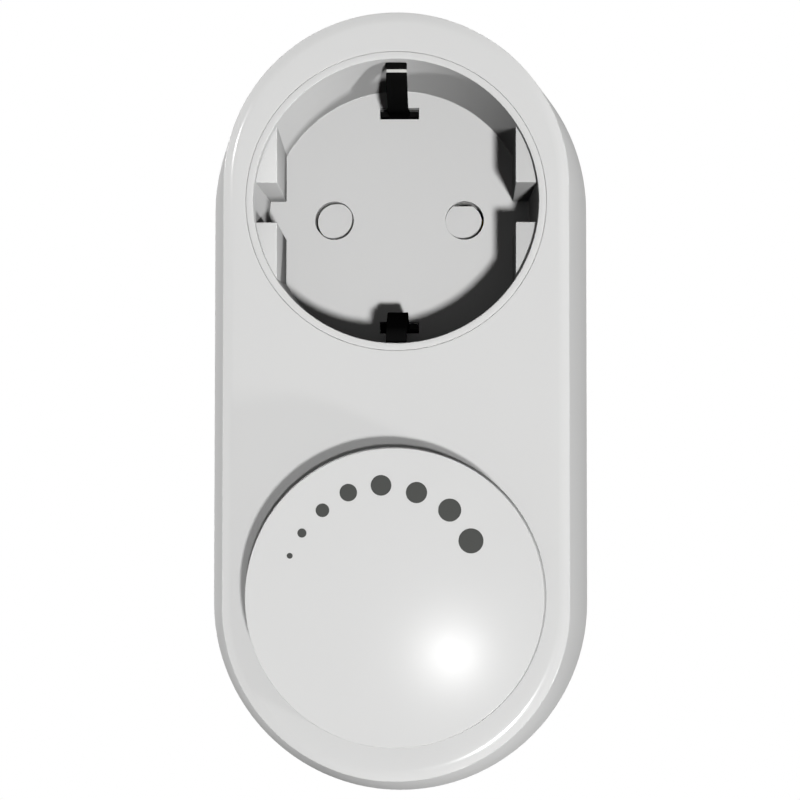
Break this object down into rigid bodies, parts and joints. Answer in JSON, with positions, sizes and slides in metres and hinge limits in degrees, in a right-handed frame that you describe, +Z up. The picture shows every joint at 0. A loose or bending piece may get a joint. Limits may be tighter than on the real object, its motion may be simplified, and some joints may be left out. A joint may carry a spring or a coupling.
{
  "type": "plug-in dimmer",
  "caption": "White capsule-shaped dimmer that plugs into a wall socket, with an earthed socket above a large round brightness knob and an earthed plug on its back.",
  "frame": {"origin": "centre of the plug's mating face, midway between its pins, on the socket's axis", "axes": "+Z up the housing, from the knob to the socket; +Y out of the back along the plug's pins, so the front faces -Y; +X to the right seen from the front"},
  "size_m": [0.0552, 0.0772, 0.1134],
  "materials": {
    "shell": "satin moulded white",
    "socket": "satin moulded white",
    "carrier": "moulded dark grey",
    "earth_metal": "bright nickel plate",
    "pin_metal": "nickel plate",
    "contact_brass": "bare stamped brass",
    "steel": "zinc plated",
    "aluminium": "bare extruded",
    "board": "solder-masked laminate",
    "winding": "enamelled copper",
    "film": "moulded box",
    "sleeve": "shrunk sleeve",
    "fuse_tube": "glazed tube with metal caps",
    "moulding": "black epoxy",
    "brown_insulation": "soft insulation",
    "black_insulation": "soft insulation"
  },
  "bodies": {
    "housing": {"front_cover": "shell", "rear_cover": "shell", "socket_cup": "socket", "shutter_spring": "steel", "contact_carrier": "carrier", "live_contact": "contact_brass", "neutral_contact": "contact_brass", "earth_strip_top": "earth_metal", "earth_strip_bottom": "earth_metal", "earth_bridge": "contact_brass", "live_pin": "pin_metal", "neutral_pin": "pin_metal", "potentiometer": "steel", "circuit_board": "board", "choke": "winding", "film_capacitor": "film", "filter_capacitor": "sleeve", "fuse": "fuse_tube", "fuse_clips": "contact_brass", "transistor": "moulding", "heat_sink": "aluminium", "live_wire": "brown_insulation", "load_wire": "black_insulation", "board_screws": "steel", "case_screws": "steel"},
    "shutter_rotor": {"shutter": "socket"},
    "knob_unit": {"knob": "shell", "pot_shaft": "aluminium"}
  },
  "joints": [
    {"name": "shutter_turn", "type": "hinge", "parent": "housing", "child": "shutter_rotor", "pos_m": [0, -0.0325, 0], "axis": [0, 1, 0], "range_deg": [0, 34], "stiffness_Nm_per_rad": 0.003, "springref_deg": -20.05, "deforming": ["shutter_spring"]},
    {"name": "knob_turn", "type": "hinge", "parent": "housing", "child": "knob_unit", "pos_m": [0, -0.0526, -0.0544], "axis": [0, 1, 0], "range_deg": [-135, 135]}
  ]
}
